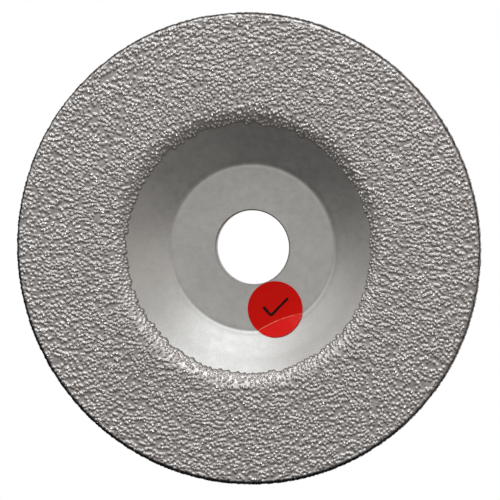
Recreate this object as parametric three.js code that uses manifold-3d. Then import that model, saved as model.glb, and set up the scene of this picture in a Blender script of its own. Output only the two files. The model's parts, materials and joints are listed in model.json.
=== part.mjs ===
// A dished diamond grinding wheel for a 100 mm hand grinder: a pressed steel disc with a sunken
// hub, a nickel braze layer over its working face and rim, diamond grit standing out of the
// braze, and a round grade label on the hub seat.
//
// Lengths are millimetres. +Z runs along the spindle, from the machine to the grinding face. The
// origin is the middle of the bore, in the plane of the hub's back seat.

import * as THREE from "three";
import { mergeVertices } from "three/addons/utils/BufferGeometryUtils.js";
import Module from "manifold-3d";

const wasm = await Module();
wasm.setup();

// ---- Driving dimensions ----

const core = {
  radius: 50, // bare steel, before it is coated
  thickness: 2, // of the sheet, the same all over
  boreRadius: 7.94, // for a 5/8 in spindle
  boreChamfer: 0.3,
  hubSeatRadius: 17.5, // flat seat for the clamping flange and nut
  recessDepth: 5.5, // from the flat working ring down to the hub seat
  wallSlope: THREE.MathUtils.degToRad(26), // of the dish wall, from level
  hubBendRadius: 2.6, // inside bend where the wall leaves the hub seat
  shoulderRadius: 6.4, // outside bend where the wall meets the working ring
  rimFrontRadius: 0.5, // broken edge on the grinding side
  rimBackRadius: 0.3,
};

const coat = {
  wallReach: 1.6, // down the dish wall from the shoulder
  edgeReach: 0.6, // down the disc's edge from its broken corner
  layerGap: 0.02, // between one layer and the next
  bondThickness: 0.42, // nickel braze
  gritHeight: 0.34, // how far the diamond stands out of the braze
};

const label = {
  radius: 6,
  thickness: 0.15, // film and adhesive
  boreMargin: 0.15, // between the label's edge and the bore
  direction: THREE.MathUtils.degToRad(-69.2), // round the wheel, from +X
  gap: 0.02, // over the steel
};

// A tick drawn by hand, its corners counted from the label's middle.
const mark = {
  corners: [
    [-2.6, 0.5],
    [-0.9, -1.4],
    [2.9, 2.5],
  ],
  penWidth: 0.62,
  thickness: 0.05,
  gap: 0.01, // over the label
};

// How finely the round shapes are cut.
const turnSteps = 72; // round the wheel
const shoulderSteps = 5;
const bendSteps = 3; // for each small bend
const labelSteps = 48;

// ---- The front surface of the sheet, from the bore out to the rim ----
// A station is a point of it in the (radius, height) half-plane, with the tilt of its outward
// normal: 0 faces along +Z, and a positive tilt leans away from the spindle.

const outward = (tilt) => new THREE.Vector2(Math.sin(tilt), Math.cos(tilt));

// The stations of a bend. A negative radius bends up towards the grinding side.
function bend(centre, radius, fromTilt, toTilt, steps) {
  return Array.from({ length: steps + 1 }, (_, i) => {
    const tilt = THREE.MathUtils.lerp(fromTilt, toTilt, i / steps);
    return { at: centre.clone().addScaledVector(outward(tilt), radius), tilt };
  });
}

const workingFaceHeight = core.thickness + core.recessDepth;

const boreEdge = {
  at: new THREE.Vector2(core.boreRadius, core.thickness),
  tilt: 0,
};
const seatStart = {
  at: new THREE.Vector2(core.boreRadius + core.boreChamfer, core.thickness),
  tilt: 0,
};

const hubBend = bend(
  new THREE.Vector2(core.hubSeatRadius, core.thickness + core.hubBendRadius),
  -core.hubBendRadius,
  0,
  -core.wallSlope,
  bendSteps,
);

// The wall rises between the two bends, so its slope and the recess's depth place the shoulder.
const wallFoot = hubBend.at(-1).at;
const shoulderDrop = core.shoulderRadius * (1 - Math.cos(core.wallSlope));
const wallRise = workingFaceHeight - shoulderDrop - wallFoot.y;
const wallTopRadius = wallFoot.x + wallRise / Math.tan(core.wallSlope);
const shoulder = bend(
  new THREE.Vector2(
    wallTopRadius + core.shoulderRadius * Math.sin(core.wallSlope),
    workingFaceHeight - core.shoulderRadius,
  ),
  core.shoulderRadius,
  -core.wallSlope,
  0,
  shoulderSteps,
);

const downTheWall = new THREE.Vector2(
  -Math.cos(core.wallSlope),
  -Math.sin(core.wallSlope),
);
const coatStart = {
  at: shoulder[0].at.clone().addScaledVector(downTheWall, coat.wallReach),
  tilt: -core.wallSlope,
};

const rimFront = bend(
  new THREE.Vector2(
    core.radius - core.rimFrontRadius,
    workingFaceHeight - core.rimFrontRadius,
  ),
  core.rimFrontRadius,
  0,
  Math.PI / 2,
  bendSteps,
);
const coatEnd = {
  at: new THREE.Vector2(core.radius, rimFront.at(-1).at.y - coat.edgeReach),
  tilt: Math.PI / 2,
};
const rimBack = bend(
  new THREE.Vector2(
    core.radius - core.rimBackRadius,
    core.recessDepth + core.rimBackRadius,
  ),
  core.rimBackRadius,
  Math.PI / 2,
  Math.PI,
  bendSteps,
);

// ---- Shapes ----

// The stations moved out along their normals, or into the steel by a negative height.
const lifted = (stations, height) =>
  stations.map(({ at, tilt }) =>
    at.clone().addScaledVector(outward(tilt), height),
  );

// A profile in the (radius, height) half-plane, running anticlockwise, turned about the spindle.
function turned(profile) {
  const closed = [...profile, profile[0].clone()];
  return new THREE.LatheGeometry(closed, turnSteps).rotateX(Math.PI / 2);
}

// A ring of even thickness that follows the stations.
function layer(stations, low, thickness) {
  const upper = lifted(stations, low + thickness).reverse();
  return turned([...lifted(stations, low), ...upper]);
}

// A closed geometry as a manifold-3d solid, and back.
function solidOf(geometry) {
  const bare = new THREE.BufferGeometry()
    .setAttribute("position", geometry.getAttribute("position"))
    .setIndex(geometry.index);
  const merged = mergeVertices(bare);
  return new wasm.Manifold(
    new wasm.Mesh({
      numProp: 3,
      vertProperties: merged.attributes.position.array,
      triVerts: new Uint32Array(merged.index.array),
    }),
  );
}

function geometryOf(solid) {
  const mesh = solid.getMesh();
  const geometry = new THREE.BufferGeometry()
    .setAttribute("position", new THREE.BufferAttribute(mesh.vertProperties, 3))
    .setIndex(new THREE.BufferAttribute(mesh.triVerts, 1));
  geometry.computeVertexNormals();
  return geometry;
}

// A film that lies on the hub seat, the bend and the foot of the wall, cut out by an upright
// prism that stands at the origin until it is moved over the label's place.
const labelDistance = core.boreRadius + label.boreMargin + label.radius;
function laidFilm(prism, low, thickness) {
  const skin = layer([boreEdge, ...hubBend, coatStart], low, thickness);
  const cutter = prism.translate(
    labelDistance * Math.cos(label.direction),
    labelDistance * Math.sin(label.direction),
    0,
  );
  return geometryOf(solidOf(skin).intersect(solidOf(cutter)));
}

// The outline of a pen's stroke through a few corners, mitred where it turns.
function strokeOutline(corners, width) {
  const sideOfRun = (i) => {
    const along = corners[i + 1].clone().sub(corners[i]).normalize();
    return new THREE.Vector2(-along.y, along.x);
  };
  const lastRun = corners.length - 2;
  const offsets = corners.map((_, i) => {
    const before = sideOfRun(Math.max(i - 1, 0));
    const after = sideOfRun(Math.min(i, lastRun));
    const mitre = before.clone().add(after).normalize();
    return mitre.multiplyScalar(width / 2 / mitre.dot(before));
  });
  return [
    ...corners.map((corner, i) => corner.clone().sub(offsets[i])),
    ...corners.map((corner, i) => corner.clone().add(offsets[i])).reverse(),
  ];
}

function part(name, geometry, material) {
  const mesh = new THREE.Mesh(geometry, material);
  mesh.name = name;
  return mesh;
}

// ---- Materials ----

const silverSteel = new THREE.MeshStandardMaterial({
  color: 0x9c9b97,
  roughness: 0.45,
  metalness: 0.8,
});
const nickelBraze = new THREE.MeshStandardMaterial({
  color: 0x8c8984,
  roughness: 0.4,
  metalness: 1,
});
const diamondGrit = new THREE.MeshStandardMaterial({
  color: 0xb4b0aa,
  roughness: 0.3,
  metalness: 0.7,
});
const redFilm = new THREE.MeshStandardMaterial({
  color: 0xc41a16,
  roughness: 0.4,
  metalness: 0,
});
const penInk = new THREE.MeshStandardMaterial({
  color: 0x17141a,
  roughness: 0.55,
  metalness: 0,
});

// ---- The wheel's pieces ----

// One sheet of steel. Its profile runs along the back, round the rim, and in along the front to
// the chamfered bore.
function coreDisc() {
  const sheet = [seatStart, ...hubBend, coatStart, ...shoulder];
  return turned([
    ...lifted(sheet, -core.thickness),
    ...lifted(rimBack, 0).reverse(),
    ...lifted(rimFront, 0).reverse(),
    ...lifted(sheet, 0).reverse(),
    new THREE.Vector2(core.boreRadius, core.thickness - core.boreChamfer),
    new THREE.Vector2(core.boreRadius, core.boreChamfer),
  ]);
}

// The braze runs over the top of the wall, the working ring and the edge of the rim.
function brazeLayer() {
  const stations = [coatStart, ...shoulder, ...rimFront, coatEnd];
  return layer(stations, coat.layerGap, coat.bondThickness);
}

// The grit stands on the braze. Each zone is the room that its separate crystals take up.
function gritZone(stations) {
  const brazeTop = coat.layerGap + coat.bondThickness;
  return layer(stations, brazeTop + coat.layerGap, coat.gritHeight);
}

function gradeLabel() {
  const disc = new THREE.CylinderGeometry(
    label.radius,
    label.radius,
    2 * workingFaceHeight,
    labelSteps,
  );
  return laidFilm(disc.rotateX(Math.PI / 2), label.gap, label.thickness);
}

function labelMark() {
  const corners = mark.corners.map(([x, y]) => new THREE.Vector2(x, y));
  const outline = new THREE.Shape(strokeOutline(corners, mark.penWidth));
  const stroke = new THREE.ExtrudeGeometry(outline, {
    depth: workingFaceHeight,
    bevelEnabled: false,
  });
  const labelTop = label.gap + label.thickness;
  return laidFilm(stroke, labelTop + mark.gap, mark.thickness);
}

const grit = new THREE.Group();
grit.add(
  part("diamond_grit_shoulder", gritZone([coatStart, ...shoulder]), diamondGrit),
  part("diamond_grit_face", gritZone([shoulder.at(-1), rimFront[0]]), diamondGrit),
  part("diamond_grit_rim", gritZone([...rimFront, coatEnd]), diamondGrit),
);

const gradeMarking = new THREE.Group();
gradeMarking.add(
  part("grade_label", gradeLabel(), redFilm),
  part("label_mark", labelMark(), penInk),
);

const wheel = new THREE.Group();
wheel.add(
  part("core_disc", coreDisc(), silverSteel),
  part("braze_layer", brazeLayer(), nickelBraze),
  grit,
  gradeMarking,
);

export default wheel;
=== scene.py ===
import json
import math

import bmesh
import bpy
import numpy as np
from mathutils import Matrix, Vector

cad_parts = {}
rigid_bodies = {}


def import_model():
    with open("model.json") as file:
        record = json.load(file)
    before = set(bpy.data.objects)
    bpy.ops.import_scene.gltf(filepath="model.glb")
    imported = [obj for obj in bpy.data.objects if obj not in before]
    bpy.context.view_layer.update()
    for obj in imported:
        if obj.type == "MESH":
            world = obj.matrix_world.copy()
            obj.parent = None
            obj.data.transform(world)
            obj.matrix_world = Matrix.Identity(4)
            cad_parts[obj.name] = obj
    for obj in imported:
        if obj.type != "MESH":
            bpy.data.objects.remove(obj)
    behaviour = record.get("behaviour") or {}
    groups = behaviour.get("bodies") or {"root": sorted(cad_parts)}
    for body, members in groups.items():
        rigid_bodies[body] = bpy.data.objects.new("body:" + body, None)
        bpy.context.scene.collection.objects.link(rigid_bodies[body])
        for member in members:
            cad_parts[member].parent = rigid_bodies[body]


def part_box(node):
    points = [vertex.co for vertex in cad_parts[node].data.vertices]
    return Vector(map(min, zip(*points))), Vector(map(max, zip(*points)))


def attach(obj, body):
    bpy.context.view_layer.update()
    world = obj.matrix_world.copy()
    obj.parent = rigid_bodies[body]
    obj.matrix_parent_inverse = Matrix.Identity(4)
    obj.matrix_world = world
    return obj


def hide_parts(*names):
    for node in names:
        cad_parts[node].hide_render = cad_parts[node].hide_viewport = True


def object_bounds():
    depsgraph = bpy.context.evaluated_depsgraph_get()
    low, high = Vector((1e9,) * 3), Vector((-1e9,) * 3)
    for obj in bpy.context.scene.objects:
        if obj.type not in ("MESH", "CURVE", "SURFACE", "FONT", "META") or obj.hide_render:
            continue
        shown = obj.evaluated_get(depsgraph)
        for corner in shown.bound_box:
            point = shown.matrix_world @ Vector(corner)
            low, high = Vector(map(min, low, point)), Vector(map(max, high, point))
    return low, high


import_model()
cadLow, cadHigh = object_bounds()
coreLow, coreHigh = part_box("core_disc")
scene = bpy.context.scene
mm = 0.001
print("frame loaded")


class Wire:
    # a socket that adds, multiplies and so on, each step making its Math node
    def __init__(self, tree, socket):
        self.tree = tree
        self.socket = socket

    def maths(self, operation, *values):
        numbered = dict(enumerate(values))
        return self.tree.add("ShaderNodeMath", {"operation": operation}, numbered).out(0)

    def __add__(self, other):
        return self.maths("ADD", self, other)

    def __radd__(self, other):
        return self.maths("ADD", other, self)

    def __sub__(self, other):
        return self.maths("SUBTRACT", self, other)

    def __rsub__(self, other):
        return self.maths("SUBTRACT", other, self)

    def __mul__(self, other):
        return self.maths("MULTIPLY", self, other)

    def __rmul__(self, other):
        return self.maths("MULTIPLY", other, self)

    def __truediv__(self, other):
        return self.maths("DIVIDE", self, other)

    def __gt__(self, other):
        return self.maths("GREATER_THAN", self, other)

    def __lt__(self, other):
        return self.maths("LESS_THAN", self, other)

    def __abs__(self):
        return self.maths("ABSOLUTE", self)

    def bigger(self, other):
        return self.maths("MAXIMUM", self, other)

    def length(self):
        return self.tree.add("ShaderNodeVectorMath", {"operation": "LENGTH"}, {0: self}).out("Value")

    def times(self, number):
        values = {0: self, "Scale": number}
        return self.tree.add("ShaderNodeVectorMath", {"operation": "SCALE"}, values).out(0)

    def plus(self, other):
        return self.tree.add("ShaderNodeVectorMath", {"operation": "ADD"}, {0: self, 1: other}).out(0)

    def parts(self):
        split = self.tree.add("ShaderNodeSeparateXYZ", {}, {0: self})
        return split.out(0), split.out(1), split.out(2)

    def flattened(self):
        # the same place at height zero, so that its length is its distance from the spindle
        x, y, _ = self.parts()
        return self.tree.add("ShaderNodeCombineXYZ", {}, {0: x, 1: y}).out(0)

    def smooth(self, low, high, atLow=0.0, atHigh=1.0):
        ramp = {"Value": self, "From Min": low, "From Max": high, "To Min": atLow, "To Max": atHigh}
        return self.tree.add("ShaderNodeMapRange", {"interpolation_type": "SMOOTHSTEP"}, ramp).out(0)


class Step:
    # a new node, whose outputs are taken by name or number
    def __init__(self, tree, node):
        self.tree = tree
        self.node = node

    def out(self, key):
        return Wire(self.tree, self.node.outputs[key])


class Tree:
    # adds nodes to a shader or geometry tree and links them
    def __init__(self, nodeTree):
        self.nodeTree = nodeTree

    def add(self, kind, settings=None, values=None):
        node = self.nodeTree.nodes.new(kind)
        for name, value in (settings or {}).items():
            setattr(node, name, value)
        for key, value in (values or {}).items():
            self.feed(node.inputs[key], value)
        return Step(self, node)

    def feed(self, socket, value):
        if isinstance(value, Wire):
            self.nodeTree.links.new(value.socket, socket)
        elif socket.type == "RGBA":
            socket.default_value = (*value[:3], 1.0)
        else:
            socket.default_value = value

    def noise(self, vector, scale, detail=2.0, **more):
        values = {"Vector": vector, "Scale": scale, "Detail": detail}
        return self.add("ShaderNodeTexNoise", more, values).out(0)

    def mixed(self, factor, low, high):
        mix = self.add("ShaderNodeMix", {"data_type": "RGBA"}, {0: factor, 6: low, 7: high})
        return mix.out(2)


def materialTree(name):
    material = bpy.data.materials.new(name)
    material.use_nodes = True
    material.node_tree.nodes.clear()
    return material, Tree(material.node_tree)


def finishMaterial(tree, surface):
    tree.add("ShaderNodeOutputMaterial", {}, {"Surface": surface})


# the camera looks down on the wheel, tilted a little off the spindle
view = {
    "distance": 2.0,
    "rightTilt": math.radians(11.5),
    "upTilt": math.radians(3.5),
    "frameWidth": 106.9 * mm,
    "rightOfMiddle": -0.58 * mm,
    "aboveMiddle": 0.23 * mm,
}


def makeCamera():
    back = Vector((math.tan(view["rightTilt"]), math.tan(view["upTilt"]), 1)).normalized()
    right = Vector((0, 1, 0)).cross(back).normalized()
    up = back.cross(right)
    data = bpy.data.cameras.new("camera")
    data.lens = data.sensor_width * view["distance"] / view["frameWidth"]
    camera = bpy.data.objects.new("camera", data)
    scene.collection.objects.link(camera)
    middle = Vector((0, 0, coreHigh.z))
    middle -= right * view["rightOfMiddle"] + up * view["aboveMiddle"]
    turn = Matrix((right, up, back)).transposed().to_4x4()
    camera.matrix_world = Matrix.Translation(middle + back * view["distance"]) @ turn
    scene.camera = camera


# azimuth is counted from +X towards +Y; strength is the softbox's own brightness
softboxes = {
    "window": {
        "azimuth": 95, "elevation": 54, "distance": 0.6, "size": (0.36, 0.18),
        "strength": 4.5, "colour": (0.90, 0.95, 1.0),
    },
    "left_wall": {
        "azimuth": 148, "elevation": 46, "distance": 0.8, "size": (0.4, 0.3),
        "strength": 0.85, "colour": (0.97, 0.98, 1.0),
    },
    "right_wall": {
        "azimuth": 0, "elevation": 38, "distance": 0.8, "size": (0.4, 0.32),
        "strength": 0.35, "colour": (1.0, 0.91, 0.86),
    },
}


def makeSoftbox(name, azimuth, elevation, distance, size, strength, colour):
    data = bpy.data.lights.new(name, "AREA")
    data.shape = "RECTANGLE"
    data.size, data.size_y = size
    data.energy = strength * math.pi * size[0] * size[1]
    data.color = colour
    light = bpy.data.objects.new(name, data)
    scene.collection.objects.link(light)
    level = math.cos(math.radians(elevation))
    way = Vector((
        level * math.cos(math.radians(azimuth)),
        level * math.sin(math.radians(azimuth)),
        math.sin(math.radians(elevation)),
    ))
    light.location = way * distance
    light.rotation_euler = way.to_track_quat("Z", "Y").to_euler()


# the room brightens towards +Y and a little towards +X, and is dark round the horizon
room = {
    "even": 0.093,
    "ahead": 0.53,
    "aheadSpan": (-0.45, 0.30),
    "aside": 0.09,
    "asideSpan": (-0.6, 0.6),
    "horizonSpan": (0.02, 0.42),
    "night": 0.015,
    "below": 0.9,
    "belowSpan": (-0.92, -0.45),
    "colour": (1.0, 0.957, 0.935),
}


def makeRoom():
    world = bpy.data.worlds.new("room")
    scene.world = world
    world.use_nodes = True
    world.node_tree.nodes.clear()
    tree = Tree(world.node_tree)
    x, y, height = tree.add("ShaderNodeTexCoord").out("Generated").parts()
    ahead = y.smooth(*room["aheadSpan"]) * room["ahead"]
    aside = x.smooth(*room["asideSpan"]) * room["aside"]
    below = height.smooth(*room["belowSpan"], room["below"], room["night"])
    glow = (ahead + aside + room["even"]) * height.smooth(*room["horizonSpan"]) + below
    lit = tree.add("ShaderNodeBackground", {}, {"Color": room["colour"], "Strength": glow})
    tree.add("ShaderNodeOutputWorld", {}, {"Surface": lit.out(0)})


floorSize = 6.0


def makeFloor():
    # evenly white from above, clear from below, and unseen by the wheel's own shading
    half = floorSize / 2
    mesh = bpy.data.meshes.new("floor")
    corners = [(-half, -half), (half, -half), (half, half), (-half, half)]
    mesh.from_pydata([(x, y, cadLow.z) for x, y in corners], [], [(0, 1, 2, 3)])
    floor = bpy.data.objects.new("floor", mesh)
    scene.collection.objects.link(floor)
    material, tree = materialTree("floor_white")
    white = tree.add("ShaderNodeEmission", {}, {"Color": (1, 1, 1), "Strength": 1.0})
    clear = tree.add("ShaderNodeBsdfTransparent")
    behind = tree.add("ShaderNodeNewGeometry").out("Backfacing")
    shown = tree.add("ShaderNodeMixShader", {}, {0: behind, 1: white.out(0), 2: clear.out(0)})
    finishMaterial(tree, shown.out(0))
    mesh.materials.append(material)
    floor.visible_diffuse = False
    floor.visible_glossy = False
    floor.visible_transmission = False
    floor.visible_shadow = False


makeCamera()
for boxName, box in softboxes.items():
    makeSoftbox(boxName, **box)
makeRoom()
makeFloor()
scene.view_settings.view_transform = "Standard"
print("stage set")


# a station of the sheet's front is its radius, its height, and the tilt of its outward normal,
# which is positive where it leans away from the spindle
sheet = {
    "thickness": 2.0 * mm,
    "boreRadius": 7.94 * mm,
    "boreChamfer": 0.3 * mm,
    "seatRadius": 17.5 * mm,
    "wallSlope": math.radians(26),
    "hubBend": 2.6 * mm,
    "shoulderBend": 6.4 * mm,
    "rimFrontBend": 0.5 * mm,
    "rimBackBend": 0.3 * mm,
    "seatDish": 0.20 * mm,  # how far the press lifts the seat's outer edge
    "dishFade": 6.0 * mm,
    "footRise": 0.09 * mm,  # of the wall's foot over the plain bend
    "footSpan": (17.8 * mm, 19.0 * mm),
    "footFade": 8.0 * mm,
    "waist": 0.028 * mm,  # of the wall's slow wave
    "waistStart": 19.0 * mm,
    "waistLength": 9.0 * mm,
    "turns": 384,
    "hubSteps": 12,
    "shoulderSteps": 16,
    "rimFrontSteps": 8,
    "rimBackSteps": 6,
    "flatStep": 0.6 * mm,
    "wallStep": 0.5 * mm,
    "sharpFrom": math.radians(28),
}
coat = {
    "wallReach": 1.6 * mm,  # down the dish wall
    "edgeReach": 0.6 * mm,  # down the rim
    "spareReach": 1.2 * mm,  # of the bed that lies hidden in the steel
}


def bend(centreRadius, centreHeight, radius, fromTilt, toTilt, steps):
    tilts = np.linspace(fromTilt, toTilt, steps + 1)
    return [(centreRadius + radius * math.sin(t), centreHeight + radius * math.cos(t), t) for t in tilts]


def frontStations():
    slope = sheet["wallSlope"]
    faceHeight = coreHigh.z
    seatHeight = coreLow.z + sheet["thickness"]
    hubBend, shoulderBend, rimBend = sheet["hubBend"], sheet["shoulderBend"], sheet["rimFrontBend"]
    hub = bend(sheet["seatRadius"], seatHeight + hubBend, -hubBend, 0, -slope, sheet["hubSteps"])
    drop = shoulderBend * (1 - math.cos(slope))
    footRadius, footHeight, _ = hub[-1]
    topRadius = footRadius + (faceHeight - drop - footHeight) / math.tan(slope)
    shoulder = bend(
        topRadius + shoulderBend * math.sin(slope), faceHeight - shoulderBend,
        shoulderBend, -slope, 0, sheet["shoulderSteps"],
    )
    rim = bend(
        coreHigh.x - rimBend, faceHeight - rimBend,
        rimBend, 0, math.pi / 2, sheet["rimFrontSteps"],
    )
    return hub, shoulder, rim


def downWall(reach):
    # the station that far down the wall from the shoulder
    slope = sheet["wallSlope"]
    radius, height, tilt = shoulderStations[0]
    return (radius - reach * math.cos(slope), height - reach * math.sin(slope), tilt)


def lifted(stations, height):
    return [(r + height * math.sin(t), z + height * math.cos(t)) for r, z, t in stations]


def fine(stations, spacing):
    # the same line with stations at about that spacing
    line = np.array(stations)
    along = np.concatenate([[0], np.cumsum(np.hypot(*np.diff(line[:, :2], axis=0).T))])
    at = np.linspace(0, along[-1], max(1, round(along[-1] / spacing)) + 1)
    return [tuple(row) for row in np.column_stack([np.interp(at, along, column) for column in line.T])]


def spun(name, profile, turns, closed=True):
    # a (radius, height) profile turned about the spindle; it runs anticlockwise, so faces point out
    line = np.array(profile)
    turn = np.linspace(0, 2 * math.pi, turns, endpoint=False)
    points = np.stack([
        np.outer(np.cos(turn), line[:, 0]),
        np.outer(np.sin(turn), line[:, 0]),
        np.tile(line[:, 1], (turns, 1)),
    ], axis=-1).reshape(-1, 3)
    count = len(line)
    here = np.arange(count if closed else count - 1)
    there = (here + 1) % count
    thisTurn = np.arange(turns)[:, None] * count
    nextTurn = np.roll(thisTurn, -1, axis=0)
    faces = np.stack([thisTurn + here, nextTurn + here, nextTurn + there, thisTurn + there], axis=-1)
    mesh = bpy.data.meshes.new(name)
    mesh.from_pydata(points.tolist(), [], faces.reshape(-1, 4).tolist())
    mesh.shade_smooth()
    piece = bpy.data.objects.new(name, mesh)
    scene.collection.objects.link(piece)
    return piece


hubStations, shoulderStations, rimStations = frontStations()

# a scale is in waves per metre, a pair of tones runs from the darkest place to the palest,
# and roughness starts at roughFrom and grows by up to roughSpread
steelLook = {
    "cloudScale": 130.0,
    "cloudShare": 0.45,
    "patchScale": 700.0,
    "patchShare": 0.35,
    "patchHeight": 0.6,
    "speckScale": 3200.0,
    "speckShare": 0.5,
    "toneSpan": (0.38, 0.92),
    "tones": ((0.470, 0.465, 0.446), (0.590, 0.585, 0.562)),
    "ringScale": 2600.0,
    "ringTwist": 1.2,  # how soon a ring changes on its way round
    "ringTone": 0.12,
    "ringToneBack": 0.9,
    "ringHeight": 0.2,
    "ringHeightBack": 2.0,
    # painted highlight: a paler ring of steel along the hub bend
    "bendHighlight": (0.85, 0.85, 0.825),
    "bendHighlightSpan": (17.3 * mm, 18.0 * mm),
    "bendHighlightShare": 0.18,
    "relief": 0.012 * mm,
    "reliefStrength": 0.5,
    "roughFrom": 0.37,
    "roughSpread": 0.16,
}


def silverSteel():
    material, tree = materialTree("silver_steel")
    place = tree.add("ShaderNodeTexCoord").out("Object")
    x, y, _ = place.parts()
    radius = place.flattened().length()
    cloud = tree.noise(place, steelLook["cloudScale"], 4)
    patch = tree.noise(place, steelLook["patchScale"], 4)
    speck = tree.noise(place, steelLook["speckScale"], 2)
    # faint rings from spinning, much plainer on the back
    wound = tree.add("ShaderNodeCombineXYZ", {}, {
        0: x / radius * steelLook["ringTwist"],
        1: y / radius * steelLook["ringTwist"],
        2: radius * steelLook["ringScale"],
    }).out(0)
    rings = tree.noise(wound, 1.0, 3) - 0.5
    back = tree.add("ShaderNodeAttribute", {"attribute_name": "backSide"}).out("Fac")
    mottled = cloud * steelLook["cloudShare"] + patch * steelLook["patchShare"]
    mottled = (mottled + speck * steelLook["speckShare"]).smooth(*steelLook["toneSpan"])
    ringTone = rings * (steelLook["ringTone"] + back * steelLook["ringToneBack"])
    bare = tree.mixed(mottled + ringTone, *steelLook["tones"])
    # painted highlight: the steel is made paler along the hub bend
    bendHighlightMask = radius.smooth(*steelLook["bendHighlightSpan"], steelLook["bendHighlightShare"], 0.0)
    colour = tree.mixed(bendHighlightMask, bare, steelLook["bendHighlight"])
    ringHeight = rings * (steelLook["ringHeight"] + back * steelLook["ringHeightBack"])
    bump = tree.add("ShaderNodeBump", {}, {
        "Strength": steelLook["reliefStrength"],
        "Distance": steelLook["relief"],
        "Height": speck + patch * steelLook["patchHeight"] + ringHeight,
    })
    surface = tree.add("ShaderNodeBsdfPrincipled", {}, {
        "Base Color": colour,
        "Roughness": steelLook["roughFrom"] + steelLook["roughSpread"] * patch,
        "Metallic": 1.0,
        "Normal": bump.out(0),
    })
    finishMaterial(tree, surface.out(0))
    return material


# painted shade: the wheel's edge is coloured nearly black, most of all on the side where shade falls
edgeShadeLook = {
    "span": (49.95 * mm, 50.4 * mm),
    "shadedSide": math.radians(238),
    "shadedSpan": (-0.3, 0.6),  # of the cosine of the angle from the shaded side
    # how much of the painted shade is left on the far side
    "farSideShare": 0.35,
    "spill": 0.42 * mm,  # how far the painted shade reaches in on the shaded side
    "ragged": 0.5 * mm,
    "raggedScale": 2200.0,
}


# painted shade: a mask that darkens the wheel's edge, most of all on the shaded side
def paintedEdgeShade(tree, place):
    x, y, _ = place.parts()
    radius = place.flattened().length()
    towardShade = (x * math.cos(edgeShadeLook["shadedSide"]) + y * math.sin(edgeShadeLook["shadedSide"])) / radius
    ragged = (tree.noise(place, edgeShadeLook["raggedScale"], 2) - 0.5) * edgeShadeLook["ragged"]
    reach = radius + towardShade.bigger(0.0) * edgeShadeLook["spill"] + ragged
    return reach.smooth(*edgeShadeLook["span"]) * towardShade.smooth(*edgeShadeLook["shadedSpan"], edgeShadeLook["farSideShare"], 1.0)


brazeLook = {
    "cloudScale": 300.0,
    "speckScale": 3500.0,
    "tones": ((0.485, 0.467, 0.450), (0.606, 0.583, 0.562)),
    # the nearly black colour of the painted shade at the edge
    "shadeColour": (0.03, 0.033, 0.042),
    "shadeShare": 0.95,
    "relief": 0.05 * mm,
    "reliefStrength": 0.6,
    "roughFrom": 0.30,
    "roughSpread": 0.14,
}


def nickelBraze():
    material, tree = materialTree("nickel_braze")
    place = tree.add("ShaderNodeTexCoord").out("Object")
    cloud = tree.noise(place, brazeLook["cloudScale"], 3)
    speck = tree.noise(place, brazeLook["speckScale"], 2)
    # painted shade darkens the braze at the wheel's edge
    edgeShadeMask = paintedEdgeShade(tree, place) * brazeLook["shadeShare"]
    colour = tree.mixed(edgeShadeMask, tree.mixed(cloud, *brazeLook["tones"]), brazeLook["shadeColour"])
    bump = tree.add("ShaderNodeBump", {}, {
        "Strength": brazeLook["reliefStrength"], "Distance": brazeLook["relief"], "Height": speck,
    })
    surface = tree.add("ShaderNodeBsdfPrincipled", {}, {
        "Base Color": colour,
        "Roughness": brazeLook["roughFrom"] + brazeLook["roughSpread"] * speck,
        "Metallic": 1.0,
        "Normal": bump.out(0),
    })
    finishMaterial(tree, surface.out(0))
    return material


gritLook = {
    "speckScale": 3000.0,
    "tones": ((0.585, 0.566, 0.545), (0.808, 0.780, 0.753)),
    # the nearly black colour of the painted shade at the edge
    "shadeColour": (0.05, 0.055, 0.068),
    "shadeShare": 0.40,
    "relief": 0.03 * mm,
    "reliefStrength": 0.3,
    "roughFrom": 0.17,
    "roughSpread": 0.2,
}


def diamondGrit():
    material, tree = materialTree("diamond_grit")
    place = tree.add("ShaderNodeTexCoord").out("Object")
    tone = tree.add("ShaderNodeAttribute", {"attribute_name": "gritTone"}).out("Fac")
    speck = tree.noise(place, gritLook["speckScale"], 2)
    # painted shade darkens the crystals at the wheel's edge
    edgeShadeMask = paintedEdgeShade(tree, place) * gritLook["shadeShare"]
    colour = tree.mixed(edgeShadeMask, tree.mixed(tone, *gritLook["tones"]), gritLook["shadeColour"])
    bump = tree.add("ShaderNodeBump", {}, {
        "Strength": gritLook["reliefStrength"], "Distance": gritLook["relief"], "Height": speck,
    })
    surface = tree.add("ShaderNodeBsdfPrincipled", {}, {
        "Base Color": colour,
        "Roughness": gritLook["roughFrom"] + gritLook["roughSpread"] * tone,
        "Metallic": 1.0,
        "Normal": bump.out(0),
    })
    finishMaterial(tree, surface.out(0))
    return material


label = {
    "radius": 6.0 * mm,
    "fromAxis": 14.09 * mm,
    "direction": math.radians(-69.2),
    "lift": 0.17 * mm,  # of the film's top over the steel
    "thickness": 0.15 * mm,
    "ripple": 0.006 * mm,
    "rippleRate": (1.9, 1.6),  # radians per millimetre
    "rippleStart": 0.7,
    "rings": 60,
    "spokes": 160,
}
labelX = label["fromAxis"] * math.cos(label["direction"])
labelY = label["fromAxis"] * math.sin(label["direction"])
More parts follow.
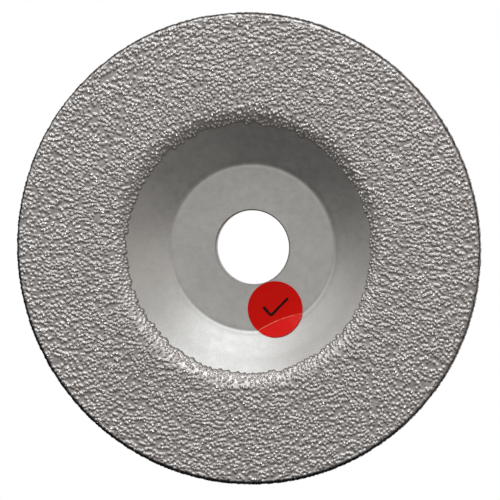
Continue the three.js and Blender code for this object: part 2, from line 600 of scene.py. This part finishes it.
# the fold runs between the places where the label's edge crosses the edge of the hub seat
crease = {
    "middle": (labelX + 1.08 * mm, labelY - 2.68 * mm),
    "along": (0.928, 0.373),
    "halfLength": 4.61 * mm,
    "bow": 0.40 * mm,
    "soften": 0.30 * mm,
    "softenSteps": 13,
    "slope": 0.31,  # of the film beyond the fold
    "calmSeat": 16.5 * mm,  # the seat's height is taken from inside this radius
}
filmLook = {
    "cloudScale": 260.0,
    "speckScale": 5000.0,
    "tones": ((0.61, 0.0042, 0.0014), (0.72, 0.0062, 0.0022)),
    # painted light: the paler red of the film beyond its fold, which leans towards the light
    "raised": (0.88, 0.0050, 0.0024),
    "litBeyondFoldSpan": (-0.1 * mm, 0.3 * mm),
    "brightSide": (0.6, -0.8),
    "brightSpan": (-4 * mm, 5 * mm),
    "brightShare": 0.55,
    "creaseHighlightHalf": 0.14 * mm,
    # the colour of the painted highlight along the fold
    "line": (0.98, 0.30, 0.20),
    "lineWander": 0.12 * mm,
    "breakScale": 900.0,
    "breakSpan": (0.36, 0.6),
    "breakShare": 0.25,
    "relief": 0.02 * mm,
    "reliefStrength": 0.12,
    "roughFrom": 0.14,
    "roughSpread": 0.08,
    "shine": 0.1,
}


def pastCrease(x, y):
    # how far a place lies outside the fold, for numbers and for sockets alike
    alongX, alongY = crease["along"]
    acrossX, acrossY = x - crease["middle"][0], y - crease["middle"][1]
    run = (acrossX * alongX + acrossY * alongY) * (1 / crease["halfLength"])
    return acrossX * alongY - acrossY * alongX + (1 - run * run) * crease["bow"]


def redFilm():
    material, tree = materialTree("red_film")
    place = tree.add("ShaderNodeTexCoord").out("Object")
    cloud = tree.noise(place, filmLook["cloudScale"], 3)
    speck = tree.noise(place, filmLook["speckScale"], 2)
    x, y, _ = place.parts()
    # the film is lighter on one side; beyond its fold, where it leans towards the light, it is painted
    # lighter, and a painted highlight runs along the fold itself
    past = pastCrease(x, y) + (cloud - 0.5) * filmLook["lineWander"]
    brightX, brightY = filmLook["brightSide"]
    toSide = (x - labelX) * brightX + (y - labelY) * brightY
    bright = toSide.smooth(*filmLook["brightSpan"], 0.0, filmLook["brightShare"])
    flat = tree.mixed(bright, tree.mixed(cloud, *filmLook["tones"]), filmLook["raised"])
    # painted light: the film beyond the fold is made paler
    whole = tree.mixed(past.smooth(*filmLook["litBeyondFoldSpan"]), flat, filmLook["raised"])
    # a painted highlight along the fold, broken here and there
    line = abs(past).smooth(0.0, filmLook["creaseHighlightHalf"], 1.0, 0.0)
    breaks = tree.noise(place, filmLook["breakScale"], 2)
    kept = breaks.smooth(*filmLook["breakSpan"], filmLook["breakShare"], 1.0)
    colour = tree.mixed(line * kept, whole, filmLook["line"])
    bump = tree.add("ShaderNodeBump", {}, {
        "Strength": filmLook["reliefStrength"], "Distance": filmLook["relief"], "Height": speck + cloud,
    })
    surface = tree.add("ShaderNodeBsdfPrincipled", {}, {
        "Base Color": colour,
        "Roughness": filmLook["roughFrom"] + filmLook["roughSpread"] * cloud,
        "Specular IOR Level": filmLook["shine"],
        "Normal": bump.out(0),
    })
    finishMaterial(tree, surface.out(0))
    return material


inkLook = {
    "cloudScale": 1500.0,
    "tones": ((0.014, 0.0028, 0.0026), (0.034, 0.0045, 0.0042)),
    "roughFrom": 0.5,
    "roughSpread": 0.15,
    "shine": 0.1,
}


def penInk():
    material, tree = materialTree("pen_ink")
    place = tree.add("ShaderNodeTexCoord").out("Object")
    cloud = tree.noise(place, inkLook["cloudScale"], 3)
    surface = tree.add("ShaderNodeBsdfPrincipled", {}, {
        "Base Color": tree.mixed(cloud, *inkLook["tones"]),
        "Roughness": inkLook["roughFrom"] + inkLook["roughSpread"] * cloud,
        "Specular IOR Level": inkLook["shine"],
    })
    finishMaterial(tree, surface.out(0))
    return material


def finished(piece, material, node):
    piece.data.materials.clear()
    piece.data.materials.append(material)
    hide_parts(node)
    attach(piece, "root")


# each piece lays out its own map, in shares of the map's side; a room is its left, bottom,
# width and height
maps = {
    "flatFrom": 0.35,  # a face is flat where its normal's height is over this
    "lastBare": 4,  # the station of the shoulder, under the coat, that ends the bare part
    "outerFrom": 0.26,
    "outerWidth": 0.72,
    "innerFrom": 0.02,
    "innerWidth": 0.2,
    "stripLength": 0.96,
    "coreBack": (0.005, 0.005, 0.62, 0.62),
    "coreBare": (0.635, 0.005, 0.36, 0.36),
    "coreCoated": (0.635, 0.375, 0.36, 0.36),
    "coreBore": (0.005, 0.64, 0.62, 0.1),
    "coreRim": (0.005, 0.76, 0.62, 0.1),
    "slabTop": (0.01, 0.01, 0.78, 0.78),
    "slabUnder": (0.82, 0.01, 0.17, 0.17),
    "slabSide": (0.01, 0.84, 0.98, 0.14),
}


def cornersOf(mesh):
    # for each corner of each face: its place, and its face's middle and normal
    points = np.empty(len(mesh.vertices) * 3)
    mesh.vertices.foreach_get("co", points)
    which = np.empty(len(mesh.loops), dtype=int)
    mesh.loops.foreach_get("vertex_index", which)
    totals = np.empty(len(mesh.polygons), dtype=int)
    mesh.polygons.foreach_get("loop_total", totals)
    middles = np.empty(len(mesh.polygons) * 3)
    mesh.polygons.foreach_get("center", middles)
    normals = np.empty(len(mesh.polygons) * 3)
    mesh.polygons.foreach_get("normal", normals)
    middles = np.repeat(middles.reshape(-1, 3), totals, axis=0)
    normals = np.repeat(normals.reshape(-1, 3), totals, axis=0)
    return points.reshape(-1, 3)[which], middles, normals


def facings(normals):
    up, down = normals[:, 2] > maps["flatFrom"], normals[:, 2] < -maps["flatFrom"]
    return up, down, ~up & ~down


def aroundAxis(places, middles):
    # each corner's angle, kept within half a turn of its face's
    turn = np.arctan2(middles[:, 1], middles[:, 0])
    off = np.arctan2(places[:, 1], places[:, 0]) - turn
    return turn, (off + math.pi) % (2 * math.pi) - math.pi


def keepMap(piece, across, up):
    layer = piece.data.uv_layers.new(name="OFBake")
    layer.data.foreach_set("uv", np.stack([across, up], axis=-1).astype(np.float32).ravel())


def layOut(piece, islands):
    # an island is the corners it takes, their two coordinates, and its room on the map
    places = np.zeros((2, len(piece.data.loops)))
    for chosen, across, up, (left, bottom, width, height) in islands:
        for axis, values, low, size in ((0, across, left, width), (1, up, bottom, height)):
            held = values[chosen]
            places[axis, chosen] = low + size * (held - held.min()) / np.ptp(held)
    keepMap(piece, *places)


def mapRing(piece, lean):
    # a ring's map is cut into strips that lie one above another, and what faces the steel is narrow
    places, middles, normals = cornersOf(piece.data)
    turn, off = aroundAxis(places, middles)
    reach = np.hypot(places[:, 0], places[:, 1])
    across = reach - lean * places[:, 2]
    width = np.ptp(across)
    across = (across - across.min()) / width
    radial = (normals[:, :2] * middles[:, :2]).sum(axis=1) / np.hypot(middles[:, 0], middles[:, 1])
    facesOut = normals[:, 2] + lean * radial > 0
    strips = max(1, round(math.sqrt(2 * math.pi * reach.mean() * maps["outerWidth"] / width)))
    sector = 2 * math.pi / strips
    strip = np.clip(np.floor((turn + math.pi) / sector), 0, strips - 1)
    fromMiddle = turn + off + math.pi - (strip + 0.5) * sector
    outer = maps["outerFrom"] + maps["outerWidth"] * across
    inner = maps["innerFrom"] + maps["innerWidth"] * across
    rise = np.where(facesOut, outer, inner)
    keepMap(piece, 0.5 + maps["stripLength"] * fromMiddle / sector, (strip + rise) / strips)


def pressedOut(radius):
    # the press leaves the hub seat a little dished, and the wall wavy and steepest at its foot
    bore, seat = sheet["boreRadius"], sheet["seatRadius"]
    dish = np.clip((radius - bore) / (seat - bore), 0, 1) ** 2
    fade = 1 - np.clip((radius - seat) / sheet["dishFade"], 0, 1)
    along = np.clip((radius - sheet["waistStart"]) / sheet["waistLength"], 0, 1)
    footStart, footEnd = sheet["footSpan"]
    up = np.clip((radius - footStart) / (footEnd - footStart), 0, 1)
    foot = up * up * (3 - 2 * up) * (1 - np.clip((radius - footEnd) / sheet["footFade"], 0, 1))
    wave = sheet["waist"] * np.sin(2 * math.pi * along)
    return sheet["seatDish"] * dish * fade + sheet["footRise"] * foot - wave


def frontSheet():
    flatStep = sheet["flatStep"]
    flat = [(sheet["boreRadius"] + sheet["boreChamfer"], hubStations[0][1], 0), hubStations[0]]
    front = [
        *fine(flat, flatStep)[:-1],
        *hubStations,
        *fine([hubStations[-1], shoulderStations[0]], sheet["wallStep"])[1:],
        *shoulderStations[1:],
        *fine([shoulderStations[-1], rimStations[0]], flatStep)[1:-1],
    ]
    return [(radius, height + pressedOut(radius), tilt) for radius, height, tilt in front]


def mapCore(core):
    places, middles, normals = cornersOf(core.data)
    x, y, z = places.T
    turn, off = aroundAxis(places, middles)
    bare = np.hypot(middles[:, 0], middles[:, 1]) < shoulderStations[maps["lastBare"]][0]
    front, back, side = facings(normals)
    layOut(core, [
        (back, x, y, maps["coreBack"]),
        (front & bare, x, y, maps["coreBare"]),
        (front & ~bare, x, y, maps["coreCoated"]),
        (side & bare, turn + off, z, maps["coreBore"]),
        (side & ~bare, turn + off, z, maps["coreRim"]),
    ])


def makeCore():
    chamfer = sheet["boreChamfer"]
    seatHeight = hubStations[0][1]
    front = frontSheet()
    backHeight = coreHigh.z - sheet["thickness"]
    rimBack = sheet["rimBackBend"]
    back = bend(
        coreHigh.x - rimBack, backHeight + rimBack,
        rimBack, math.pi, math.pi / 2, sheet["rimBackSteps"],
    )
    boreSide = [(sheet["boreRadius"], seatHeight - chamfer), (sheet["boreRadius"], coreLow.z + chamfer)]
    profile = [
        *lifted(front, -sheet["thickness"]),
        *lifted(back, 0),
        *lifted(rimStations, 0)[::-1],
        *lifted(front, 0)[::-1],
        *boreSide,
    ]
    core = spun("pressed_core", profile, sheet["turns"])
    core.data.set_sharp_from_angle(angle=sheet["sharpFrom"])
    onBack = np.arange(len(profile)) < len(front) + len(back)
    flags = core.data.attributes.new("backSide", "FLOAT", "POINT")
    flags.data.foreach_set("value", np.tile(onBack.astype(np.float32), sheet["turns"]))
    mapCore(core)
    finished(core, silverSteel(), "core_disc")


makeCore()
print("core pressed")

grit = {
    "size": 0.48 * mm,
    "spacing": 0.465 * mm,
    "perSquareMetre": 4.9e6,
    "holdHeight": 0.42 * mm,  # of the crystals' middles over the steel
    "sinkRange": 0.06 * mm,
    "clumpScale": 1250.0,
    "clumpSpan": (0.36, 0.55),
    "thinnest": 0.20,  # the share of crystals left between the clumps
    "edgeSpan": (0.05 * mm, 0.25 * mm),
    "rimSize": 0.66,  # of the full size, on the rim
    "innerSize": 0.77,  # and at the coat's inner edge
    "denseSpan": (27.4 * mm, 29.4 * mm),
    "stretch": (0.8, 1.18),
    "seed": 7,
    "sinkSeed": 3,
    "turnSeed": 5,
    "stretchSeed": 6,
    "toneSeed": 11,
    "shapeSeed": 12,
    "shapes": 5,
    "shapeReach": 0.36,
    "shapeShake": 0.05,
    "surfaceTurns": 360,
    "innerFaceEvery": 4,  # of the inner face's rows, the surface keeps one in so many
}
bond = {
    "thin": 0.27 * mm,
    "waveScale": 900.0,
    "waveShare": 0.5,
    "climb": 0.27 * mm,  # up a crystal's sides
    "climbStart": 0.08 * mm,
    "climbEnd": 0.44 * mm,
    "rimExtra": 0.26 * mm,
    "rimSpan": (49.45 * mm, 50.0 * mm),
    "rimCalm": 0.45,
    "innerSpan": (28.0 * mm, 31.2 * mm),
    "innerExtra": 0.10 * mm,
    "innerCalm": 0.65,
    "heldSpan": (0.42 * mm, 0.66 * mm),  # from a crystal that keeps the braze round it
    "wetSpan": (0.35 * mm, 0.75 * mm),  # from the coat's wandering edge
    "dryDepth": 0.06 * mm,
    "turns": 1600,
    "shoulderStep": 0.165 * mm,
    "faceRows": 58,
    "rimStep": 0.12 * mm,
    "underEvery": 6,  # one row below for so many above
    "depth": 0.1 * mm,
    "sharpFrom": math.radians(60),
    "mapLean": {"shoulder": 0.3, "face": 0.3, "rim": 1.0},
    "edgeWander": 0.35 * mm,
    "edgeScale": 500.0,
}


def geometryTree(name, inputs):
    group = bpy.data.node_groups.new(name, "GeometryNodeTree")
    group.interface.new_socket("Geometry", in_out="INPUT", socket_type="NodeSocketGeometry")
    for title, kind in inputs.items():
        group.interface.new_socket(title, in_out="INPUT", socket_type="NodeSocket" + kind)
    group.interface.new_socket("Geometry", in_out="OUTPUT", socket_type="NodeSocketGeometry")
    tree = Tree(group)
    return group, tree, tree.add("NodeGroupInput")


def madeByNodes(piece, group, values):
    # runs the tree once and keeps its result as a plain mesh
    modifier = piece.modifiers.new(group.name, "NODES")
    modifier.node_group = group
    for item in group.interface.items_tree:
        if item.in_out == "INPUT" and item.name in values:
            modifier[item.identifier] = values[item.name]
    shown = piece.evaluated_get(bpy.context.evaluated_depsgraph_get())
    mesh = bpy.data.meshes.new_from_object(shown)
    piece.modifiers.clear()
    piece.data = mesh
    mesh.name = piece.name


sprinkleInputs = {
    "Coated Surface": "Object",
    "Grit Spacing": "Float",
    "Grit per Area": "Float",
    "Sink Range": "Float",
    "Clump Scale": "Float",
    "Thinnest": "Float",
    "Edge Radius": "Float",
    "Edge Wander": "Float",
    "Edge Scale": "Float",
    "Seed": "Int",
}


def coatEdge(tree, given):
    # how far a point lies outside the coat's wandering inner edge
    place = tree.add("GeometryNodeInputPosition").out(0)
    level = place.flattened()
    wander = tree.noise(level, given.out("Edge Scale"), 3) - 0.5
    return level, level.length() - given.out("Edge Radius") - wander * given.out("Edge Wander")


def sprinkle(tree, given):
    # the points where crystals sit, closer together in clumps
    surface = tree.add("GeometryNodeObjectInfo", {}, {"Object": given.out("Coated Surface")})
    level, past = coatEdge(tree, given)
    cloud = tree.noise(level, given.out("Clump Scale"), 2)
    clump = cloud.smooth(*grit["clumpSpan"], given.out("Thinnest"), 1.0)
    dense = level.length().smooth(*grit["denseSpan"], 1.0, 0.0)
    share = clump.bigger(dense) * past.smooth(*grit["edgeSpan"])
    scatter = tree.add("GeometryNodeDistributePointsOnFaces", {"distribute_method": "POISSON"}, {
        "Mesh": surface.out("Geometry"),
        "Distance Min": given.out("Grit Spacing"),
        "Density Max": given.out("Grit per Area"),
        "Density Factor": share,
        "Seed": given.out("Seed"),
    })
    sink = tree.add("FunctionNodeRandomValue", {"data_type": "FLOAT"}, {
        2: -1.0, 3: 1.0, "Seed": grit["sinkSeed"],
    }).out(1)
    drop = scatter.out("Normal").times(sink * given.out("Sink Range"))
    return tree.add("GeometryNodeSetPosition", {}, {
        "Geometry": scatter.out("Points"), "Offset": drop,
    }).out(0)


def gritTree():
    group, tree, given = geometryTree("sprinkled_grit", {
        **sprinkleInputs, "Shapes": "Collection", "Grit Size": "Float",
        "From Radius": "Float", "To Radius": "Float", "Rim Size": "Float", "Finish": "Material",
    })
    points = sprinkle(tree, given)
    radius = tree.add("GeometryNodeInputPosition").out(0).flattened().length()
    inZone = (radius > given.out("From Radius")) * (radius < given.out("To Radius"))
    zone = tree.add("GeometryNodeSeparateGeometry", {"domain": "POINT"}, {
        "Geometry": points, "Selection": inZone,
    })
    tone = tree.add("FunctionNodeRandomValue", {"data_type": "FLOAT"}, {
        2: 0.0, 3: 1.0, "Seed": grit["toneSeed"],
    }).out(1)
    toned = tree.add("GeometryNodeStoreNamedAttribute", {"data_type": "FLOAT", "domain": "POINT"}, {
        "Geometry": zone.out(0), "Name": "gritTone", "Value": tone,
    })
    shapes = tree.add("GeometryNodeCollectionInfo", {}, {
        "Collection": given.out("Shapes"), "Separate Children": True, "Reset Children": True,
    })
    full = 2 * math.pi
    turn = tree.add("FunctionNodeRandomValue", {"data_type": "FLOAT_VECTOR"}, {
        0: (0, 0, 0), 1: (full, full, full), "Seed": grit["turnSeed"],
    }).out(0)
    spin = tree.add("FunctionNodeEulerToRotation", {}, {0: turn}).out(0)
    least, most = grit["stretch"]
    stretch = tree.add("FunctionNodeRandomValue", {"data_type": "FLOAT_VECTOR"}, {
        0: (least, least, least), 1: (most, most, most), "Seed": grit["stretchSeed"],
    }).out(0)
    towardsRim = radius.smooth(*bond["rimSpan"], 1.0, given.out("Rim Size"))
    share = towardsRim * radius.smooth(*grit["denseSpan"], grit["innerSize"], 1.0)
    crystals = tree.add("GeometryNodeInstanceOnPoints", {}, {
        "Points": toned.out(0), "Instance": shapes.out(0), "Pick Instance": True,
        "Rotation": spin, "Scale": stretch.times(given.out("Grit Size") * share),
    })
    solid = tree.add("GeometryNodeRealizeInstances", {}, {"Geometry": crystals.out(0)})
    coloured = tree.add("GeometryNodeSetMaterial", {}, {
        "Geometry": solid.out(0), "Material": given.out("Finish"),
    })
    tree.add("NodeGroupOutput", {}, {"Geometry": coloured.out(0)})
    return group


def brazeTree():
    # lifts the bed by the braze's depth: thin in between, climbing at crystals, pooled at the edges
    group, tree, given = geometryTree("wetted_braze", {
        **sprinkleInputs, "Hold Height": "Float", "Thin": "Float", "Rim Extra": "Float",
        "Climb": "Float", "Climb Start": "Float", "Climb End": "Float", "Finish": "Material",
    })
    points = sprinkle(tree, given)
    outward = tree.add("GeometryNodeInputNamedAttribute", {"data_type": "FLOAT_VECTOR"}, {
        "Name": "outward",
    }).out(0)
    place = tree.add("GeometryNodeInputPosition").out(0)
    beside = place.plus(outward.times(given.out("Hold Height")))
    near = tree.add("GeometryNodeProximity", {"target_element": "POINTS"}, {0: points, 2: beside})
    climb = near.out("Distance").smooth(given.out("Climb Start"), given.out("Climb End"), 1.0, 0.0)
    level, past = coatEdge(tree, given)
    wave = tree.noise(place, bond["waveScale"], 2) - 0.5
    radius = level.length()
    edge = radius.smooth(*bond["rimSpan"], 0.0, given.out("Rim Extra"))
    pooled = radius.smooth(*bond["innerSpan"], bond["innerExtra"], 0.0)
    calm = radius.smooth(*bond["rimSpan"], 1.0, bond["rimCalm"])
    calm = calm * radius.smooth(*bond["innerSpan"], bond["innerCalm"], 1.0)
    between = given.out("Thin") * (1 + bond["waveShare"] * wave)
    flood = between + edge + pooled + climb * calm * given.out("Climb")
    held = near.out("Distance").smooth(*bond["heldSpan"], 1.0, 0.0)
    wet = past.smooth(*bond["wetSpan"]).bigger(held)
    height = flood * wet - bond["dryDepth"] * (1 - wet)
    raised = tree.add("GeometryNodeSetPosition", {}, {
        "Geometry": given.out("Geometry"), "Offset": outward.times(height),
    })
    solid = tree.add("GeometryNodeRealizeInstances", {}, {"Geometry": raised.out(0)})
    coloured = tree.add("GeometryNodeSetMaterial", {}, {
        "Geometry": solid.out(0), "Material": given.out("Finish"),
    })
    tree.add("NodeGroupOutput", {}, {"Geometry": coloured.out(0)})
    return group


def gritShapes():
    # blocky crystals, each the hull of a shaken cuboctahedron
    shaken = np.random.default_rng(grit["shapeSeed"])
    shapes = bpy.data.collections.new("grit_shapes")
    signs = [(a, b) for a in (-1, 1) for b in (-1, 1)]
    corners = [
        *[(0, a, b) for a, b in signs],
        *[(a, 0, b) for a, b in signs],
        *[(a, b, 0) for a, b in signs],
    ]
    for number in range(grit["shapes"]):
        form = bmesh.new()
        for corner in corners:
            shake = Vector(shaken.normal(0, grit["shapeShake"], 3))
            form.verts.new(Vector(corner) * grit["shapeReach"] + shake)
        bmesh.ops.convex_hull(form, input=form.verts)
        bmesh.ops.delete(form, geom=[v for v in form.verts if not v.link_faces], context="VERTS")
        bmesh.ops.recalc_face_normals(form, faces=form.faces)
        mesh = bpy.data.meshes.new(f"grit_shape_{number}")
        form.to_mesh(mesh)
        form.free()
        shapes.objects.link(bpy.data.objects.new(mesh.name, mesh))
    return shapes


def coatedStations():
    start = downWall(coat["wallReach"] + coat["spareReach"])
    edgeRadius, edgeHeight, edgeTilt = rimStations[-1]
    end = (edgeRadius, edgeHeight - coat["edgeReach"], edgeTilt)
    inner, outer = shoulderStations[-1], rimStations[0]
    middle = ((inner[0] + outer[0]) / 2, inner[1], 0.0)
    faceStep = (outer[0] - inner[0]) / 2 / bond["faceRows"]
    return {
        "shoulder": fine([start, *shoulderStations], bond["shoulderStep"]),
        "inner_face": fine([inner, middle], faceStep),
        "outer_face": fine([middle, outer], faceStep),
        "rim": fine([*rimStations, end], bond["rimStep"]),
    }


def makeGrit(surface, shared):
    shapes = gritShapes()
    finish = diamondGrit()
    grown = gritTree()
    inner, outer = shoulderStations[-1][0], rimStations[0][0]
    middle = (inner + outer) / 2
    zones = {
        "shoulder": (0, inner, "shoulder"),
        "inner_face": (inner, middle, "face"),
        "outer_face": (middle, outer, "face"),
        "rim": (outer, 1, "rim"),
    }
    for zone, (fromRadius, toRadius, node) in zones.items():
        name = "crystals_" + zone
        crystals = bpy.data.objects.new(name, bpy.data.meshes.new(name))
        scene.collection.objects.link(crystals)
        madeByNodes(crystals, grown, {
            **shared, "Shapes": shapes, "Grit Size": grit["size"],
            "From Radius": float(fromRadius), "To Radius": float(toRadius), "Rim Size": grit["rimSize"],
            "Finish": finish,
        })
        mapRing(crystals, bond["mapLean"][node])
        finished(crystals, finish, "diamond_grit_" + node)
        print("grit on the", zone, len(crystals.data.polygons), "facets", flush=True)
    for shape in list(shapes.objects):
        bpy.data.objects.remove(shape)
    bpy.data.collections.remove(shapes)


def makeBraze(zones, shared):
    finish = nickelBraze()
    wetted = brazeTree()
    for zone, stations in zones.items():
        rowsBelow = stations[:1] if "face" in zone else stations[::bond["underEvery"]]
        under = [*rowsBelow, stations[-1]]
        # the rows below stay put, and each one above is lifted along its normal
        rows = [*[(s, 0) for s in under], *[(s, 1) for s in stations[::-1]]]
        profile = [*lifted(under, -bond["depth"]), *lifted(stations[::-1], 0)]
        bed = spun("braze_" + zone, profile, bond["turns"])
        bed.data.set_sharp_from_angle(angle=bond["sharpFrom"])
        turn = np.linspace(0, 2 * math.pi, bond["turns"], endpoint=False)[:, None]
        tilts = np.array([tilt for (_, _, tilt), _ in rows])
        onTop = np.array([top for _, top in rows])
        outward = np.stack([
            np.cos(turn) * np.sin(tilts) * onTop,
            np.sin(turn) * np.sin(tilts) * onTop,
            np.ones_like(turn) * np.cos(tilts) * onTop,
        ], axis=-1)
        normals = bed.data.attributes.new("outward", "FLOAT_VECTOR", "POINT")
        normals.data.foreach_set("vector", outward.astype(np.float32).ravel())
        madeByNodes(bed, wetted, {
            **shared, "Hold Height": grit["holdHeight"], "Thin": bond["thin"],
            "Rim Extra": bond["rimExtra"], "Climb": bond["climb"],
            "Climb Start": bond["climbStart"], "Climb End": bond["climbEnd"], "Finish": finish,
        })
        bed.data.attributes.remove(bed.data.attributes["outward"])
        mapRing(bed, bond["mapLean"][zone.split("_")[-1]])
        finished(bed, finish, "braze_layer")
        print("braze on the", zone, 2 * len(bed.data.polygons), "triangles")


def makeCoat():
    zones = coatedStations()
    innerFace = zones["inner_face"][1::grit["innerFaceEvery"]]
    whole = [*zones["shoulder"], *innerFace, *zones["outer_face"][1:], *zones["rim"][1:]]
    held = lifted(whole, grit["holdHeight"])[::-1]
    surface = spun("coated_surface", held, grit["surfaceTurns"], closed=False)
    shared = {
        "Coated Surface": surface,
        "Grit Spacing": grit["spacing"],
        "Grit per Area": grit["perSquareMetre"],
        "Sink Range": grit["sinkRange"],
        "Clump Scale": grit["clumpScale"],
        "Thinnest": grit["thinnest"],
        "Edge Radius": downWall(coat["wallReach"])[0],
        "Edge Wander": bond["edgeWander"],
        "Edge Scale": bond["edgeScale"],
        "Seed": grit["seed"],
    }
    makeGrit(surface, shared)
    makeBraze(zones, shared)
    bpy.data.objects.remove(surface)


makeCoat()
print("coat laid")

tick = {
    "corners": [(-2.6, 0.5), (-0.9, -1.4), (2.9, 2.5)],
    "steps": (14, 30),  # along its short and its long stroke
    "width": 0.62 * mm,
    "widthSteps": 7,
    "softenRounds": 3,
    "ending": 0.16,  # how much narrower the pen's line ends than it starts
    "wobble": 0.05,
    "wobbleRate": 2.1,  # radians per millimetre
    "bluntEnd": 0.02,
    "thickness": 0.03 * mm,
    "gap": 0.008 * mm,
}


def filmHeight(x, y):
    # the film lies on the seat up to its fold, and from there spans the bend to the wall
    away = np.hypot(x, y)
    steelRadii, steelHeights, _ = np.array(frontSheet()).T
    steel = np.interp(away, steelRadii, steelHeights)
    past = pastCrease(x, y)
    steps = np.linspace(-crease["soften"], crease["soften"], crease["softenSteps"])
    rise = crease["slope"] * np.mean([np.maximum(past + step, 0) for step in steps], axis=0)
    seat = np.interp(np.minimum(away, crease["calmSeat"]), steelRadii, steelHeights)
    rateX, rateY = label["rippleRate"]
    wave = np.sin(rateX * x / mm + label["rippleStart"]) * np.sin(rateY * y / mm)
    return np.maximum(steel, seat + rise) + label["lift"] + label["ripple"] * wave


slab = {"weld": 0.0005 * mm, "sharpFrom": math.radians(50)}


def slabMesh(name, top, loops, thickness):
    # a thin closed slab under a grid of points, whose rows may each close into a loop
    rows, count, _ = top.shape
    under = top - np.array([0, 0, thickness])
    points = np.concatenate([top.reshape(-1, 3), under.reshape(-1, 3)])
    lower = rows * count
    here = np.arange(count if loops else count - 1)
    there = (here + 1) % count
    faces = []
    for row in range(rows - 1):
        a, b = row * count, (row + 1) * count
        sheetTop = np.stack([a + here, b + here, b + there, a + there], axis=-1)
        faces += sheetTop.tolist() + (lower + sheetTop[:, ::-1]).tolist()
    lastRow = (rows - 1) * count
    sides = [(here, there), (lastRow + there, lastRow + here)]
    if not loops:
        down = np.arange(rows - 1) * count
        sides += [(down + count, down), (down + count - 1, down + 2 * count - 1)]
    for one, two in sides:
        faces += np.stack([one, two, lower + two, lower + one], axis=-1).tolist()
    mesh = bpy.data.meshes.new(name)
    mesh.from_pydata(points.tolist(), [], faces)
    form = bmesh.new()
    form.from_mesh(mesh)
    bmesh.ops.remove_doubles(form, verts=form.verts, dist=slab["weld"])
    bmesh.ops.recalc_face_normals(form, faces=form.faces)
    form.to_mesh(mesh)
    form.free()
    mesh.shade_smooth()
    mesh.set_sharp_from_angle(angle=slab["sharpFrom"])
    piece = bpy.data.objects.new(name, mesh)
    scene.collection.objects.link(piece)
    return piece


def mapSlab(piece):
    places, middles, normals = cornersOf(piece.data)
    x, y, z = places.T
    middle = np.array([(x.min() + x.max()) / 2, (y.min() + y.max()) / 2, 0])
    turn, off = aroundAxis(places - middle, middles - middle)
    top, under, side = facings(normals)
    layOut(piece, [
        (top, x, y, maps["slabTop"]),
        (under, x, y, maps["slabUnder"]),
        (side, turn + off, z, maps["slabSide"]),
    ])


def makeLabel():
    reach = label["radius"] * np.linspace(0.0, 1.0, label["rings"] + 1)[:, None]
    turn = np.linspace(0, 2 * math.pi, label["spokes"], endpoint=False)
    x = labelX + reach * np.cos(turn)
    y = labelY + reach * np.sin(turn)
    top = np.stack([x, y, filmHeight(x, y)], axis=-1)
    film = slabMesh("label_film", top, True, label["thickness"])
    mapSlab(film)
    finished(film, redFilm(), "grade_label")


def tickPath():
    # the pen's path through the corners, rounded where it turns
    start, turn, end = np.array(tick["corners"]) * mm
    shortSteps, longSteps = tick["steps"]
    path = np.concatenate([
        start + (turn - start) * np.linspace(0, 1, shortSteps + 1)[:-1, None],
        turn + (end - turn) * np.linspace(0, 1, longSteps + 1)[:, None],
    ])
    for _ in range(tick["softenRounds"]):
        path[1:-1] = (path[:-2] + path[1:-1] + path[2:]) / 3
    return path


def makeInk():
    path = tickPath()
    along = np.gradient(path, axis=0)
    along /= np.linalg.norm(along, axis=1)[:, None]
    side = np.stack([-along[:, 1], along[:, 0]], axis=-1)
    run = np.concatenate([[0], np.cumsum(np.linalg.norm(np.diff(path, axis=0), axis=1))])
    fromEnd = np.minimum(run, run[-1] - run)
    half = tick["width"] / 2
    cap = np.sqrt(np.clip(1 - (1 - np.clip(fromEnd / half, 0, 1)) ** 2, tick["bluntEnd"], 1))
    wobble = tick["wobble"] * np.sin(run / mm * tick["wobbleRate"])
    pressure = 1 - tick["ending"] * run / run[-1] + wobble
    reach = (half * cap * pressure)[:, None] * np.linspace(-1, 1, tick["widthSteps"])
    x = labelX + path[:, 0, None] + side[:, 0, None] * reach
    y = labelY + path[:, 1, None] + side[:, 1, None] * reach
    top = np.stack([x, y, filmHeight(x, y) + tick["gap"] + tick["thickness"]], axis=-1)
    ink = slabMesh("label_ink", top, False, tick["thickness"])
    mapSlab(ink)
    finished(ink, penInk(), "label_mark")


makeLabel()
makeInk()
print("label stuck on")
